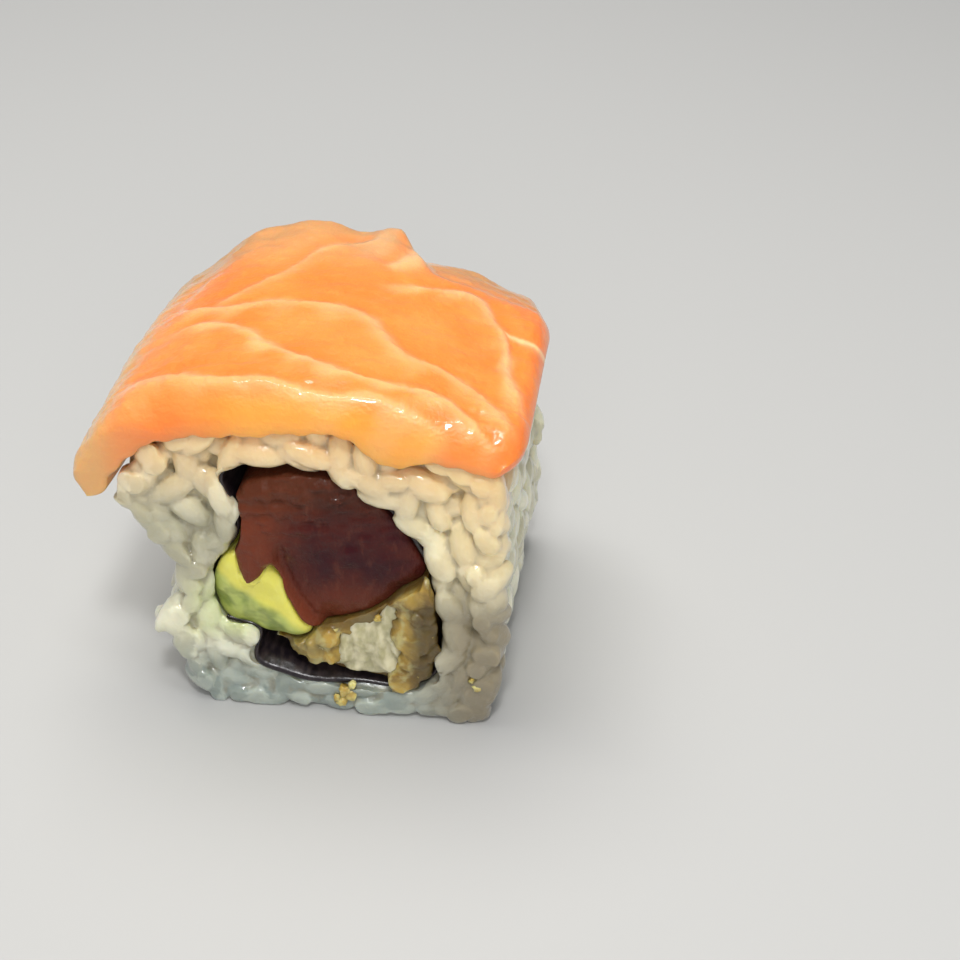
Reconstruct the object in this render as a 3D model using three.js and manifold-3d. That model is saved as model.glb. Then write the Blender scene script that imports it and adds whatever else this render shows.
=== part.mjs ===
// One piece of an inside-out sushi roll, standing on its side the way it is served.
// A square-sided ring of sushi rice holds a sheet of nori, and the nori wraps tuna,
// avocado and a prawn in crumb batter. A slice of salmon lies over the top.
// X runs across the roll, Y along it from the front cut to the back cut, and Z up.
// The origin is under the middle of its width and length, and all sizes are millimetres.
import * as THREE from 'three';
import { mergeVertices } from 'three/addons/utils/BufferGeometryUtils.js';
import Module from 'manifold-3d';

const wasm = await Module();
wasm.setup();

// Driving dimensions
const ROLL_LENGTH = 35;
const HALF_LENGTH = ROLL_LENGTH / 2;
const GAP = 0.3;
const NORI_THICKNESS = 0.6;
const SALMON_THICKNESS = 4.4;
const GRAIN = { length: 6.0, width: 3.2, thickness: 2.8, sidePitch: 4.75, facePitch: 3.95 };
const GRAIN_VARIES = { size: 0.24, lift: 0.5, place: 0.35 };
const CORE_INSET = 1.2;
const NORI_SET_BACK = 0.2;
const TUNA_END = { setBack: 0.35, dome: 0.9, crease: 0.8, creaseX: -3.4, creaseWidth: 0.9, fibre: 0.12 };
const AVOCADO_END = { setBack: 0.9, dome: 0.5, wave: 0.12 };
const PRAWN_END = { setBack: 0.2, dome: 0.5, flakes: 0.7, crags: 1.3, batterFrom: 0.55 };
const TERRACE = { height: 0.55, rise: 4.0, fall: 2.2 };
const BACK_CORNER = { from: 6, drawnIn: 0.1 };
const LEFT_WAVE = { share: 0.006, perMillimetre: 0.35 };
const LIP = { above: 2.0, below: 0.5 };
const FRONT_ROLL = { from: 5.2, thinner: 0.33 };
const LEFT_FLARE = { out: 0.9, reach: 4 };
const DROOP = { left: 1.2, leftX: -7, leftWidth: 8, right: 2.4, rightX: 10, rightWidth: 3.4, reach: 2.8 };
const SALMON_ROOM_ABOVE = 6;
// The outlines below are drawn about the fillings, and the finished piece is moved across
// by this much, so that the origin lies under the middle of its whole width
const CENTRING = 0.8;

// Outlines in the plane of the cut, [x, z], counter-clockwise as seen from the front
const RICE_OUTLINE = [
  [-19.3, 31.6], [-20.5, 27.2], [-17.9, 23.7], [-15.2, 19.4], [-15.2, 14.9], [-17.3, 11.2],
  [-15.5, 6.4], [-14.2, 1.6], [-11.5, -2.6], [2.0, -3.0], [16.5, -2.6], [19.7, 2.8],
  [20.9, 9.0], [20.8, 22.0], [20.7, 33.2], [16.5, 36.8], [6.0, 39.4], [-5.0, 39.2],
  [-13.5, 36.6],
];
const CAVITY_OUTLINE = [
  [-10.0, 10.9], [-6.4, 9.8], [-6.3, 6.5], [-2.4, 5.2], [4.5, 4.1], [10.9, 3.8],
  [13.6, 6.4], [14.3, 12.0], [13.5, 19.6], [10.3, 26.5], [5.4, 31.4], [-1.6, 33.2],
  [-8.4, 31.7], [-7.6, 27.0], [-8.1, 22.8], [-10.8, 18.6], [-11.0, 14.6],
];
const NORI_END = 15 / CAVITY_OUTLINE.length;
const TUNA_OUTLINE = [
  [-6.2, 30.2], [-7.7, 27.2], [-8.1, 23.6], [-7.7, 18.9], [-7.0, 16.2], [-5.6, 17.5],
  [-4.2, 19.7], [-3.5, 18.7], [-2.4, 14.7], [-0.5, 11.6], [3.0, 12.2], [7.0, 14.3],
  [9.6, 17.0], [12.0, 19.0], [11.9, 22.8], [10.0, 26.0], [7.4, 29.0], [4.2, 31.0],
  [0.4, 31.8], [-3.0, 31.4],
];
const TUNA_HUB = new THREE.Vector2(-4.5, 23.5);
const AVOCADO_OUTLINE = [
  [-8.6, 20.6], [-10.4, 18.0], [-11.0, 13.8], [-9.6, 10.4], [-5.4, 9.2], [-1.4, 9.6],
  [-0.2, 10.9], [-1.6, 14.0], [-3.4, 17.6], [-5.6, 20.0],
];
const AVOCADO_HUB = new THREE.Vector2(-5.6, 14.2);
const PRAWN_OUTLINE = [
  [-4.9, 10.2], [-5.4, 6.4], [0.0, 4.6], [6.0, 4.0], [11.4, 4.0], [13.8, 8.0],
  [14.0, 14.0], [13.2, 20.4], [8.5, 19.5], [4.5, 17.5], [0.0, 15.0], [-3.0, 13.0],
];
const PRAWN_HUB = new THREE.Vector2(6.5, 10.5);
const HOLLOW = { centre: [-4.6, 7.6], radius: [2.7, 2.4], depth: 3.4 };

// The salmon's middle line, [x, z], from its left tip over the rice to its right tip
const SALMON_LINE = [
  [-22.0, 27.5], [-21.3, 31.8], [-18.3, 35.8], [-12.0, 39.0], [-4.0, 40.2], [3.5, 40.2],
  [11.0, 38.8], [17.5, 36.9], [22.7, 36.1],
];
// White fat lines across the top of the slice, [x, y], where one flake ends on the next
const FAT_LINES = [
  [[-18.9, -12.7], [-12.7, -13.3], [-4.4, -14.4], [4.2, -15.2], [11.9, -15.8], [15.9, -17.4]],
  [[-16.2, -5.0], [-13.0, -3.7], [-6.8, -5.7], [-1.6, -9.9], [3.6, -12.1], [14.4, -13.1], [20.7, -17.4]],
  [[-19.6, 2.2], [-10.3, -0.7], [1.5, -0.5], [6.5, -4.3], [9.0, -6.8], [18.8, -11.1], [22.0, -15.6]],
  [[3.8, 4.9], [8.6, 6.0], [13.1, 7.4], [16.5, 4.5], [19.1, -2.8], [20.5, -7.0], [22.4, -13.0]],
  [[-13.0, -0.2], [-8.0, 4.7], [-3.2, 10.4], [-0.3, 13.3], [3.4, 15.6]],
];

// A closed smooth outline through its points, as points in the plane of the cut
function closedCurve(points) {
  const corners = points.map(([x, z]) => new THREE.Vector3(x, z, 0));
  return new THREE.CatmullRomCurve3(corners, true, 'centripetal');
}

function outline(points, count) {
  return closedCurve(points).getPoints(count).slice(0, count).map((p) => new THREE.Vector2(p.x, p.y));
}

// Moves an outline inwards, or outwards where the distance is negative
function inset(points, distance, closed = true) {
  const last = points.length - 1;
  return points.map((point, index) => {
    const before = points[index > 0 ? index - 1 : (closed ? last : 0)];
    const after = points[index < last ? index + 1 : (closed ? 0 : last)];
    const along = after.clone().sub(before).normalize();
    return new THREE.Vector2(point.x - along.y * distance, point.y + along.x * distance);
  });
}

function contains(points, x, z) {
  let inside = false;
  points.forEach((a, index) => {
    const b = points[(index + 1) % points.length];
    const crosses = (a.y > z) !== (b.y > z);
    if (crosses && x < a.x + (b.x - a.x) * (z - a.y) / (b.y - a.y)) inside = !inside;
  });
  return inside;
}

// Repeatable random numbers from 0 to 1
function seeded(seed) {
  let state = seed;
  return () => {
    state = (state + 0x6d2b79f5) | 0;
    let mixed = Math.imul(state ^ (state >>> 15), 1 | state);
    mixed = (mixed + Math.imul(mixed ^ (mixed >>> 7), 61 | mixed)) ^ mixed;
    return ((mixed ^ (mixed >>> 14)) >>> 0) / 4294967296;
  };
}

function solidOf(geometry) {
  geometry.deleteAttribute('normal');
  geometry.deleteAttribute('uv');
  const merged = mergeVertices(geometry, 1e-4);
  const vertProperties = new Float32Array(merged.attributes.position.array);
  const triVerts = new Uint32Array(merged.index.array);
  return new wasm.Manifold(new wasm.Mesh({ numProp: 3, vertProperties, triVerts }));
}

// The largest body of a solid, so that loose scraps fall away
function largest(solid) {
  return solid.decompose().reduce((best, body) => (body.volume() > best.volume() ? body : best));
}

function meshOf(name, solid, colour, roughness) {
  const { vertProperties, triVerts } = solid.getMesh();
  const geometry = new THREE.BufferGeometry();
  geometry.setAttribute('position', new THREE.BufferAttribute(vertProperties, 3));
  geometry.translate(CENTRING, 0, 0);
  geometry.setIndex(new THREE.BufferAttribute(triVerts, 1));
  geometry.computeVertexNormals();
  const material = new THREE.MeshStandardMaterial({ color: colour, roughness, metalness: 0 });
  const mesh = new THREE.Mesh(geometry, material);
  mesh.name = name;
  return mesh;
}

// A straight bar along Y with the given outline
function bar(points, length) {
  const geometry = new THREE.ExtrudeGeometry(new THREE.Shape(points), {
    depth: length, steps: 1, bevelEnabled: false,
  });
  geometry.rotateX(Math.PI / 2).translate(0, length / 2, 0);
  return solidOf(geometry);
}

function block(lowest, highest) {
  const size = highest.clone().sub(lowest);
  const geometry = new THREE.BoxGeometry(size.x, size.y, size.z);
  geometry.translate(...lowest.clone().add(highest).multiplyScalar(0.5));
  return solidOf(geometry);
}

// Space for everything inside the nori, and the nori's own band at two depths from the rice
const CAVITY = outline(CAVITY_OUTLINE, 51);
const LONG = ROLL_LENGTH + 10;

function noriBand(nearRice, nearFilling, length) {
  const steps = 45;
  const curve = closedCurve(CAVITY_OUTLINE);
  const wall = Array.from({ length: steps + 1 }, (_, index) => {
    const point = curve.getPoint(NORI_END * index / steps);
    return new THREE.Vector2(point.x, point.y);
  });
  const outer = inset(wall, nearRice, false);
  const inner = inset(wall, nearFilling, false).reverse();
  return bar([...outer, ...inner], length);
}

// A filling that runs through the roll, with a relief on its two cut ends.
// The grid of a sphere is redrawn: its rows are rings round a hub on the front end, the
// side, then rings on the back end.
function filling(points, hub, around, rings, relief) {
  const rim = outline(points, around);
  const rows = 2 * rings + 1;
  const geometry = new THREE.SphereGeometry(1, around, rows);
  const { position } = geometry.attributes;
  for (let index = 0; index < position.count; index += 1) {
    const row = Math.floor(index / (around + 1));
    const edge = rim[(index % (around + 1)) % around];
    const end = row <= rings ? -1 : 1;
    const spread = (end < 0 ? row : rows - row) / rings;
    const place = hub.clone().lerp(edge, spread);
    const height = HALF_LENGTH + relief(place.x, place.y, end, spread);
    position.setXYZ(index, place.x, end * height, place.y);
  }
  return solidOf(geometry);
}

// The nori wraps the fillings, and stops short where the avocado meets the rice
const noriSolid = noriBand(GAP, GAP + NORI_THICKNESS, ROLL_LENGTH - 2 * NORI_SET_BACK);
const noriRoom = noriBand(0, 2 * GAP + NORI_THICKNESS, LONG);
const fillingRoom = bar(inset(CAVITY, GAP), LONG).subtract(noriRoom);

// The tuna is one thick strip. Its cut end is a little domed, with a crease between its lobes.
function tunaRelief(x, z, end, spread) {
  const { setBack, dome, crease, creaseX, creaseWidth, fibre } = TUNA_END;
  const lean = 0.12 * (z - 24);
  const fold = crease * Math.exp(-(((x - creaseX - lean) / creaseWidth) ** 2));
  return -setBack - dome * spread ** 6 - fold + fibre * Math.sin(1.1 * x - 0.7 * z + end);
}
const tunaRoom = bar(inset(outline(TUNA_OUTLINE, 48), -GAP), LONG);
const tunaSolid = largest(filling(TUNA_OUTLINE, TUNA_HUB, 40, 4, tunaRelief).intersect(fillingRoom));

// The avocado is a soft wedge, cut smooth and sunk slightly behind the tuna
function avocadoRelief(x, z, end, spread) {
  const { setBack, dome, wave } = AVOCADO_END;
  return -setBack - dome * spread ** 4 + wave * Math.sin(0.9 * (x + z) + end);
}
const avocadoRoom = bar(inset(outline(AVOCADO_OUTLINE, 40), -GAP), LONG);
const avocadoSolid = largest(
  filling(AVOCADO_OUTLINE, AVOCADO_HUB, 20, 3, avocadoRelief).intersect(fillingRoom).subtract(tunaRoom),
);

// The prawn's flesh is flaky in the middle, and its batter makes crags round the edge.
// At the front it leaves a small hollow beside the rice.
function scatter(x, z, end) {
  const cellX = Math.round(x * 50);
  const cellZ = Math.round(z * 50);
  const mixed = 43758.5453 * Math.sin(cellX * 12.9898 + cellZ * 78.233 + end);
  return mixed - Math.floor(mixed);
}

function prawnRelief(x, z, end, spread) {
  const { setBack, dome, flakes, crags, batterFrom } = PRAWN_END;
  const depth = spread > batterFrom ? crags : flakes;
  return -setBack - depth * scatter(x, z, end) - dome * spread ** 5;
}
const hollowShape = new THREE.SphereGeometry(1, 10, 8);
hollowShape.scale(HOLLOW.radius[0], HOLLOW.depth, HOLLOW.radius[1]);
hollowShape.translate(HOLLOW.centre[0], -HALF_LENGTH, HOLLOW.centre[1]);
const prawnSolid = largest(
  filling(PRAWN_OUTLINE, PRAWN_HUB, 32, 6, prawnRelief).intersect(fillingRoom)
    .subtract(tunaRoom).subtract(avocadoRoom).subtract(solidOf(hollowShape)),
);

// How far the top of the salmon stands out at a place: each flake rises towards its fat
// line and then drops on to the next flake
function lineAt(line, x) {
  const next = line.findIndex((point) => point[0] >= x);
  if (next <= 0) return null;
  const [x0, y0] = line[next - 1];
  const [x1, y1] = line[next];
  return y0 + (y1 - y0) * (x - x0) / (x1 - x0);
}

function terraces(x, y) {
  return FAT_LINES.reduce((sum, line) => {
    const ridge = lineAt(line, x);
    if (ridge === null) return sum;
    const beyond = y - ridge;
    const fade = Math.min(1, (x - line[0][0]) / 3, (line.at(-1)[0] - x) / 3);
    const step = beyond < 0 ? Math.exp(beyond / TERRACE.rise) : -Math.exp(-beyond / TERRACE.fall);
    return sum + TERRACE.height * fade * step;
  }, 0);
}

function smoothStep(value, low, high) {
  const share = Math.min(1, Math.max(0, (value - low) / (high - low)));
  return share * share * (3 - 2 * share);
}

// The slice falls away at its two back corners. The right one starts at the slanting edge
// of the top flake.
function backFall(x, y) {
  const flapEdge = 8.5 - 0.5 * Math.max(0, y - 10);
  const from = 9 - 5 * smoothStep(x, 16, 23);
  const depth = 3.4 - 0.9 * Math.exp(-(((x - 12.5) / 3) ** 2));
  const right = depth * Math.max(0, (y - from) / (HALF_LENGTH - from)) ** 1.5 + 0.7 * smoothStep(y, 8, 11);
  const left = 3.0 * smoothStep(-x, 11, 18) * Math.max(0, (y + 2) / 19.5) ** 1.3;
  return right * smoothStep(x - flapEdge, -0.4, 1.6) + left;
}

// The top flakes swell at the back edge, with a dip between them
function backRise(x, y) {
  const leftSwell = 0.9 * Math.exp(-(((x + 4.8) / 3.2) ** 2));
  const rightSwell = 0.5 * Math.exp(-(((x - 4.0) / 1.6) ** 2));
  const dip = 0.5 * Math.exp(-(((x - 0.2) / 1.8) ** 2));
  return (leftSwell + rightSwell - dip) * smoothStep(y, 8, 16);
}

// The soft front edge hangs lower over the rice, most of all on the right
function frontDroop(x, y) {
  const left = DROOP.left * Math.exp(-(((x - DROOP.leftX) / DROOP.leftWidth) ** 2));
  const right = DROOP.right * Math.exp(-(((x - DROOP.rightX) / DROOP.rightWidth) ** 4));
  return (left + right) * Math.exp(-(y + HALF_LENGTH) / DROOP.reach);
}

// The slice of salmon, or the room that it needs: larger by a gap, and open above.
// An open tube's grid is redrawn: half of each row is the top of the slice, half its
// underside, and at the front and back cuts both close on the middle line.
const SALMON_ACROSS = 28;
const SALMON_ALONG = [
  0, 0.06, 0.35, 0.9, 2.0, 4.0, 6.2, 8.6, 11.0, 13.5, 16.0, 18.5, 21.0, 23.5, 26.0, 28.4, 30.6,
  32.4, 33.6, 34.3, 34.75, 34.94, 35,
];
const middle = new THREE.CatmullRomCurve3(
  SALMON_LINE.map(([x, z]) => new THREE.Vector3(x, 0, z)), false, 'centripetal',
);
const middleLength = middle.getLength();

function salmon(extra, above) {
  const around = 2 * SALMON_ACROSS;
  const rows = SALMON_ALONG.length - 1;
  const geometry = new THREE.CylinderGeometry(1, 1, 1, around, rows, true);
  const { position } = geometry.attributes;
  const half = SALMON_THICKNESS / 2;
  for (let index = 0; index < position.count; index += 1) {
    const row = Math.floor(index / (around + 1));
    const column = index % (around + 1);
    const top = column <= SALMON_ACROSS;
    const even = Math.abs(1 - column / SALMON_ACROSS);
    const y = (SALMON_ALONG[row] - HALF_LENGTH) * (1 + extra / HALF_LENGTH);
    // The back right corner is drawn in, and the left edge waves a little
    const wave = LEFT_WAVE.share * Math.sin(LEFT_WAVE.perMillimetre * y);
    const from = LEFT_WAVE.share + wave;
    const to = 1 - BACK_CORNER.drawnIn * Math.max(0, (y - BACK_CORNER.from) / HALF_LENGTH) ** 1.5;
    const share = from + (to - from) * (0.5 - 0.5 * Math.cos(Math.PI * even));
    const point = middle.getPointAt(share);
    const tangent = middle.getTangentAt(share);
    const normal = new THREE.Vector3(-tangent.z, 0, tangent.x);
    // Both tips are round, and the edges of both cuts turn over softly
    const tip = Math.min(1, Math.min(share - from, to - share) * middleLength / half);
    const round = Math.sqrt(Math.max(0, 1 - (1 - tip) ** 2));
    const fromCut = Math.min(SALMON_ALONG[row], ROLL_LENGTH - SALMON_ALONG[row]);
    const turned = top ? Math.sqrt(Math.min(1, fromCut / LIP.above)) : Math.min(1, fromCut / LIP.below);
    const edge = Math.sqrt(1 - (1 - turned) ** 2);
    // The front edge is thinner, but not at the left tip
    const nearFront = Math.max(0, 1 - (y + HALF_LENGTH) / FRONT_ROLL.from) ** 2;
    const thinned = 1 - FRONT_ROLL.thinner * nearFront * (1 - smoothStep(-point.x, 15, 20));
    const flake = (terraces(point.x, y) + backRise(point.x, y)) * round;
    const highest = (SALMON_THICKNESS + flake) * thinned - half;
    const lowest = -half - frontDroop(point.x, y) * round;
    const centre = lowest + (highest - lowest) * (0.18 + 0.32 * (1 - round));
    const surface = top ? highest + extra + above : lowest - extra;
    const reach = centre + (surface - centre) * round * edge;
    // The left tip spreads a little at the front
    const atTip = point.x < 0 ? smoothStep(-point.z, -33, -30) : 0;
    const flare = LEFT_FLARE.out * atTip * Math.exp(-(y + HALF_LENGTH) / LEFT_FLARE.reach);
    point.addScaledVector(normal, reach);
    position.setXYZ(index, point.x - flare, y, point.z - backFall(point.x, y));
  }
  return solidOf(geometry);
}
const salmonSolid = salmon(0, 0);
const salmonRoom = salmon(GAP, SALMON_ROOM_ABOVE);

// Rice: a core set back from the true outline, with grains fused on all round it
// A grain is a six-sided capsule with blunt ends
const grainShape = new THREE.SphereGeometry(0.5, 6, 3);
for (let index = 0; index < grainShape.attributes.position.count; index += 1) {
  const { position } = grainShape.attributes;
  const y = position.getY(index);
  if (Math.abs(y) < 0.4) position.setY(index, Math.sign(y) * 0.3);
}
const riceRandom = seeded(7);
const ALONG_ROLL = new THREE.Vector3(0, 1, 0);
const ACROSS_ROLL = new THREE.Vector3(1, 0, 0);

function grain(place, outwards, along) {
  const size = () => 1 + GRAIN_VARIES.size * (riceRandom() - 0.5);
  const turn = Math.PI * (riceRandom() - 0.5);
  const lift = GRAIN_VARIES.lift * (riceRandom() - 0.5);
  const lengthwise = along.clone().applyAxisAngle(outwards, turn);
  lengthwise.addScaledVector(outwards, lift).normalize();
  const sideways = lengthwise.clone().cross(outwards).normalize();
  const up = sideways.clone().cross(lengthwise);
  const geometry = grainShape.clone();
  geometry.scale(GRAIN.width * size(), GRAIN.length * size(), GRAIN.thickness * size());
  geometry.applyMatrix4(new THREE.Matrix4().makeBasis(sideways, lengthwise, up).setPosition(place));
  return solidOf(geometry);
}

// Grains on the sides lie in staggered rows round the outline, and skip the flat underside
// and the top that the salmon covers
function sideGrains() {
  const grains = [];
  const curve = closedCurve(RICE_OUTLINE);
  const columns = Math.round(curve.getLength() / GRAIN.sidePitch);
  const rows = Math.round(ROLL_LENGTH / GRAIN.sidePitch) - 1;
  const sunk = GRAIN.thickness * 0.5;
  for (let column = 0; column < columns; column += 1) {
    for (let row = 0; row <= rows; row += 1) {
      const share = (column + GRAIN_VARIES.place * riceRandom()) / columns;
      const { x, y: z } = curve.getPointAt(share);
      const tangent = curve.getTangentAt(share);
      const outwards = new THREE.Vector3(tangent.y, 0, -tangent.x);
      const shift = (column % 2) * 0.5 - 0.25 + GRAIN_VARIES.place * (riceRandom() - 0.5);
      const y = ((row + shift) / rows - 0.5) * (ROLL_LENGTH - GRAIN.length * 0.7);
      const place = new THREE.Vector3(x, y, z).addScaledVector(outwards, -sunk);
      const leftSide = x < -14 && z < 30.5;
      const rightSide = x > 12 && z < 35;
      if (z > 0.4 && (leftSide || rightSide)) grains.push(grain(place, outwards, ALONG_ROLL));
    }
  }
  return grains;
}

// Grains on the two cut faces lie in a staggered grid between the outline and the nori
function faceGrains(end) {
  const grains = [];
  const outer = inset(outline(RICE_OUTLINE, 90), GRAIN.width * 0.55);
  const inner = inset(CAVITY, -GRAIN.width * 0.25);
  const rowPitch = GRAIN.facePitch * 0.87;
  const across = 46;
  const tall = 44;
  const outwards = new THREE.Vector3(0, end, 0);
  for (let row = 0; row * rowPitch < tall; row += 1) {
    for (let column = 0; column * GRAIN.facePitch < across; column += 1) {
      const jitterX = GRAIN_VARIES.place * (riceRandom() - 0.5);
      const jitterZ = GRAIN_VARIES.place * (riceRandom() - 0.5);
      const x = GRAIN.facePitch * (column + (row % 2) / 2 + jitterX) - across / 2;
      const z = rowPitch * (row + jitterZ + 0.2);
      if (!contains(outer, x, z) || contains(inner, x, z)) continue;
      const depth = HALF_LENGTH - GRAIN.thickness * (0.5 + 0.18 * riceRandom());
      grains.push(grain(new THREE.Vector3(x, end * depth, z), outwards, ACROSS_ROLL));
    }
  }
  return grains;
}

const tallest = 60;
const whole = block(
  new THREE.Vector3(-tallest, -HALF_LENGTH, 0),
  new THREE.Vector3(tallest, HALF_LENGTH, tallest),
);
const core = bar(inset(outline(RICE_OUTLINE, 38), CORE_INSET), ROLL_LENGTH - 2 * CORE_INSET);
const fused = [...sideGrains(), ...faceGrains(-1), ...faceGrains(1)]
  .reduce((sum, piece) => sum.add(piece), core);
const riceSolid = largest(
  fused.intersect(whole).subtract(bar(CAVITY, LONG)).subtract(salmonRoom),
);

const piece = new THREE.Group();
piece.add(
  meshOf('rice', riceSolid, 0xe2dcc6, 0.55),
  meshOf('nori', noriSolid, 0x1c1b22, 0.45),
  meshOf('tuna', tunaSolid, 0x6a2b30, 0.4),
  meshOf('avocado', avocadoSolid, 0xc3c25c, 0.5),
  meshOf('prawn', prawnSolid, 0xc9b98c, 0.7),
  meshOf('salmon', salmonSolid, 0xf29a4e, 0.35),
);

export default piece;
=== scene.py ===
import math

import bmesh
import bpy
import numpy as np
from mathutils import Matrix, Vector
from mathutils.kdtree import KDTree


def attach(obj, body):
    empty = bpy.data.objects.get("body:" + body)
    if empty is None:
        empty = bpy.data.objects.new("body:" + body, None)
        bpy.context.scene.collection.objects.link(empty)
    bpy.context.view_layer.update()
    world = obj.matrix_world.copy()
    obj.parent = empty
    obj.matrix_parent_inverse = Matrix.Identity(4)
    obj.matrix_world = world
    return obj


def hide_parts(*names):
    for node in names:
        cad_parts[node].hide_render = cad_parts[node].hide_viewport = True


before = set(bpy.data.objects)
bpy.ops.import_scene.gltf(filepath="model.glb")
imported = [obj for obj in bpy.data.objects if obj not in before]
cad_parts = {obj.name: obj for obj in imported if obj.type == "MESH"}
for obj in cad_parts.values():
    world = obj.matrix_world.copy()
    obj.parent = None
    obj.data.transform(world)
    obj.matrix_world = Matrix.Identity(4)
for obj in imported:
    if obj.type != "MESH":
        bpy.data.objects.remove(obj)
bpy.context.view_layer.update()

# The rice is a square-sided ring of sticky cooked short grains, pressed together by hand in
# a rolling mat. The grains are laid over a plain core in two layers, and then fused where
# they touch. The ring is cut flat at the front and back, and squashed flat underneath.
HALF_LENGTH = 17.5
CENTRING = 0.8
# Corners are in millimetres, seen from the front, and each outline is a smooth curve through them
RICE_CORNERS = [
    (-19.3, 31.6), (-20.5, 27.2), (-17.9, 23.7), (-15.2, 19.4), (-15.2, 14.9), (-17.3, 11.2),
    (-15.5, 6.4), (-14.2, 1.6), (-11.5, -2.6), (2.0, -3.0), (16.5, -2.6), (19.7, 2.8),
    (20.9, 9.0), (20.8, 22.0), (20.7, 33.2), (16.5, 36.8), (6.0, 39.4), (-5.0, 39.2),
    (-13.5, 36.6),
]
CAVITY_CORNERS = [
    (-10.0, 10.9), (-6.4, 9.8), (-6.3, 6.5), (-2.4, 5.2), (4.5, 4.1), (10.9, 3.8),
    (13.6, 6.4), (14.3, 12.0), (13.5, 19.6), (10.3, 26.5), (5.4, 31.4), (-1.6, 33.2),
    (-8.4, 31.7), (-7.6, 27.0), (-8.1, 22.8), (-10.8, 18.6), (-11.0, 14.6),
]
GRAIN_LENGTH = 6.0
GRAIN_WIDTH = 2.9
GRAIN_THICKNESS = 2.6
GRAIN_LAYERS = [(1.3, 3.6), (2.3, 3.2)]
FACE_DEEPER = 0.15
CORE_INSET = 2.9
CUT_MARGIN = 0.05
CLEAR_OF_SALMON = 1.0
CREASE_BEND = 0.014
RICE_VOXEL = 0.18
MOST_TRIANGLES = 190000


def curve_through(corners, count, closed=True):
    """Points on a smooth curve through the corners, even in each stretch."""
    corners = np.array(corners, float)
    if closed:
        steps = np.linspace(0, len(corners), count, endpoint=False)
        padded = np.vstack([corners[-1:], corners, corners[:2]])
    else:
        steps = np.linspace(0, len(corners) - 1 - 1e-9, count)
        padded = np.vstack([2 * corners[0] - corners[1], corners, 2 * corners[-1] - corners[-2]])
    first = steps.astype(int)
    share = (steps - first)[:, None]
    p0, p1, p2, p3 = (padded[first + k] for k in range(4))
    d0, d1, d2 = (
        np.sqrt(np.linalg.norm(b - a, axis=1))[:, None] for a, b in ((p0, p1), (p1, p2), (p2, p3))
    )
    leaving = ((p1 - p0) / d0 - (p2 - p0) / (d0 + d1) + (p2 - p1) / d1) * d1
    arriving = ((p2 - p1) / d1 - (p3 - p1) / (d1 + d2) + (p3 - p2) / d2) * d1
    square, cube = share ** 2, share ** 3
    return (
        (2 * cube - 3 * square + 1) * p1 + (cube - 2 * square + share) * leaving
        + (3 * square - 2 * cube) * p2 + (cube - square) * arriving
    )


class Outline:
    """A line in a plane, closed or open, that knows how far other points are from it."""

    def __init__(self, corners, closed=True, count=480):
        self.points = curve_through(corners, count, closed)
        if closed:
            along = np.roll(self.points, -1, 0) - np.roll(self.points, 1, 0)
        else:
            along = np.gradient(self.points, axis=0)
        along /= np.linalg.norm(along, axis=1)[:, None]
        self.side = np.column_stack([along[:, 1], -along[:, 0]])

    def nearest(self, places):
        """The nearest point's number, and the distance to its right hand side."""
        number = np.empty(len(places), int)
        for start in range(0, len(places), 20000):
            some = places[start:start + 20000]
            gaps = ((some[:, None, :] - self.points[None, :, :]) ** 2).sum(axis=2)
            number[start:start + 20000] = gaps.argmin(axis=1)
        away = places - self.points[number]
        side = np.sign((away * self.side[number]).sum(axis=1))
        return number, side * np.linalg.norm(away, axis=1)

    def depth(self, places):
        """How deep places lie inside a closed outline; outside it the depth is negative."""
        return -self.nearest(places)[1]

    def push_out(self, places, allowed):
        """Moves places out of a closed outline until no more than the allowed depth is left."""
        number, outside = self.nearest(places)
        spare = np.maximum(0, -outside - allowed)[:, None]
        return places + self.side[number] * spare


def places_of(mesh):
    places = np.empty(len(mesh.vertices) * 3, np.float32)
    mesh.vertices.foreach_get("co", places)
    return places.reshape(-1, 3).astype(float)


def put_places(mesh, places):
    mesh.vertices.foreach_set("co", places.astype(np.float32).ravel())
    mesh.update()


def ripples(places, size, seed, count=9):
    """A smooth random relief, about -1 to 1, with waves of about the given size."""
    rng = np.random.default_rng(seed)
    total = np.zeros(len(places))
    for _ in range(count):
        way = rng.normal(size=places.shape[1])
        way *= 2 * math.pi * (0.6 + 0.8 * rng.random()) / (size * np.linalg.norm(way))
        total += np.sin(places @ way + 2 * math.pi * rng.random())
    return total / math.sqrt(count)


def bar_from(outline_points, half_length):
    """A closed bar along Y, in a new bmesh, with the given outline."""
    bm = bmesh.new()
    rim = bmesh.ops.create_circle(bm, cap_ends=True, radius=1, segments=len(outline_points))["verts"]
    for vert, (x, z) in zip(rim, outline_points):
        vert.co = (x, -half_length, z)
    pulled = bmesh.ops.extrude_face_region(bm, geom=bm.faces[:])["geom"]
    moved = [item for item in pulled if isinstance(item, bmesh.types.BMVert)]
    bmesh.ops.translate(bm, verts=moved, vec=(0, 2 * half_length, 0))
    bmesh.ops.recalc_face_normals(bm, faces=bm.faces[:])
    return bm


def mesh_of(bm, name):
    """The mesh that a bmesh describes, with the bmesh freed."""
    mesh = bpy.data.meshes.new(name)
    bm.to_mesh(mesh)
    bm.free()
    return mesh


def applied(mesh, name, kind, **settings):
    """A new mesh in place of the old one, with one modifier applied."""
    rough = bpy.data.objects.new(name, mesh)
    bpy.context.collection.objects.link(rough)
    modifier = rough.modifiers.new(name, kind)
    for key, value in settings.items():
        setattr(modifier, key, value)
    bpy.context.view_layer.update()
    made = bpy.data.meshes.new_from_object(
        rough.evaluated_get(bpy.context.evaluated_depsgraph_get())
    )
    bpy.data.objects.remove(rough)
    bpy.data.meshes.remove(mesh)
    return made


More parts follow.
